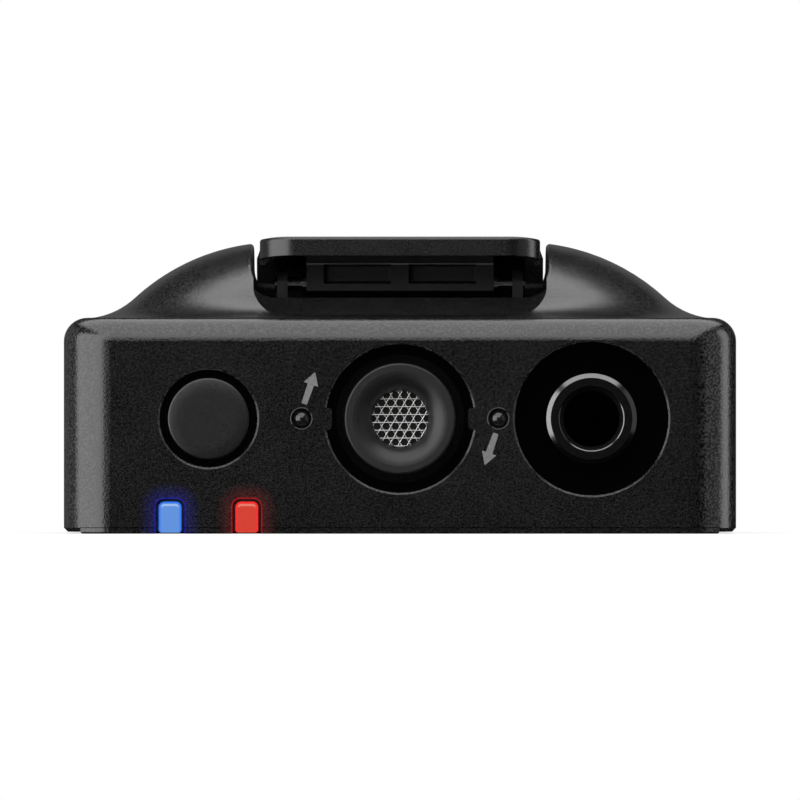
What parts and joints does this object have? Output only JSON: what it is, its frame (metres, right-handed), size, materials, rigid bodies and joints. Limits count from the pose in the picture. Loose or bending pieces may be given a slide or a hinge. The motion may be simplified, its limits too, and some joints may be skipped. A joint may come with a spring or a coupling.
{
  "type": "lavalier microphone",
  "caption": "Clip-on wireless lavalier microphone: flat square body with a round mound, sprung clip, push button, meshed microphone in a bayonet well and locking socket.",
  "frame": {"origin": "middle of the flat front cover, which lies down, clip upwards", "axes": "+Z from the front cover towards the clip, -Y towards the end with the button, the microphone and the socket, +X from the button towards the socket"},
  "size_m": [0.043, 0.045, 0.019],
  "materials": {
    "shell_plastic": "fine sand-textured matte black",
    "cover_plastic": "matte black",
    "button_plastic": "satin black",
    "clip_plastic": "satin black",
    "hinge_plastic": "satin black",
    "chip_plastic": "matte black",
    "stud_plastic": "glossy black",
    "blue_lens": "lit translucent blue",
    "red_lens": "lit translucent red",
    "boot_rubber": "satin black rubber",
    "pad_rubber": "matte black rubber",
    "foam": "black foam and adhesive",
    "mesh_steel": "etched steel",
    "collar_metal": "black plated, satin",
    "hinge_metal": "black plated",
    "axle_steel": "ground steel",
    "screw_steel": "black oxide",
    "can_metal": "tinned steel",
    "gold": "gold plated",
    "board_green": "solder mask",
    "foil": "laminated foil",
    "film": "amber film"
  },
  "bodies": {
    "housing": {"rear_housing": "shell_plastic", "front_cover": "cover_plastic", "lamp_lens_blue": "blue_lens", "lamp_lens_red": "red_lens", "lamp_chips": "chip_plastic", "button_switch": "chip_plastic", "button_board": "board_green", "mic_boot": "boot_rubber", "mic_mesh": "mesh_steel", "mic_capsule": "can_metal", "stud_left": "stud_plastic", "stud_right": "stud_plastic", "jack_bushing": "collar_metal", "jack_body": "chip_plastic", "jack_contacts": "gold", "main_board": "board_green", "board_screws": "screw_steel", "battery": "foil", "battery_tape": "foam", "battery_foam": "foam", "radio_shield": "can_metal", "board_chips": "chip_plastic", "antenna": "film", "charge_block": "cover_plastic", "charge_contacts": "gold", "hinge_bracket": "hinge_metal", "bracket_screws": "screw_steel", "clip_axle": "axle_steel", "clip_spring_left": "axle_steel", "clip_spring_right": "axle_steel", "clip_pad": "pad_rubber"},
    "clip": {"clip_lever": "clip_plastic", "clip_barrel": "hinge_plastic"},
    "button": {"power_button": "button_plastic", "button_plunger": "chip_plastic"}
  },
  "joints": [
    {"name": "clip_hinge", "type": "hinge", "parent": "housing", "child": "clip", "pos_m": [0, -0.0112, 0.016], "axis": [1, 0, 0], "range_deg": [0, 18], "stiffness_Nm_per_rad": 0.02, "springref_deg": -28.65, "deforming": ["clip_spring_left", "clip_spring_right"]},
    {"name": "button_press", "type": "slide", "parent": "housing", "child": "button", "axis": [0, 1, 0], "range_m": [0, 0.00035], "stiffness_N_per_m": 4000, "springref_m": -0.0002}
  ]
}
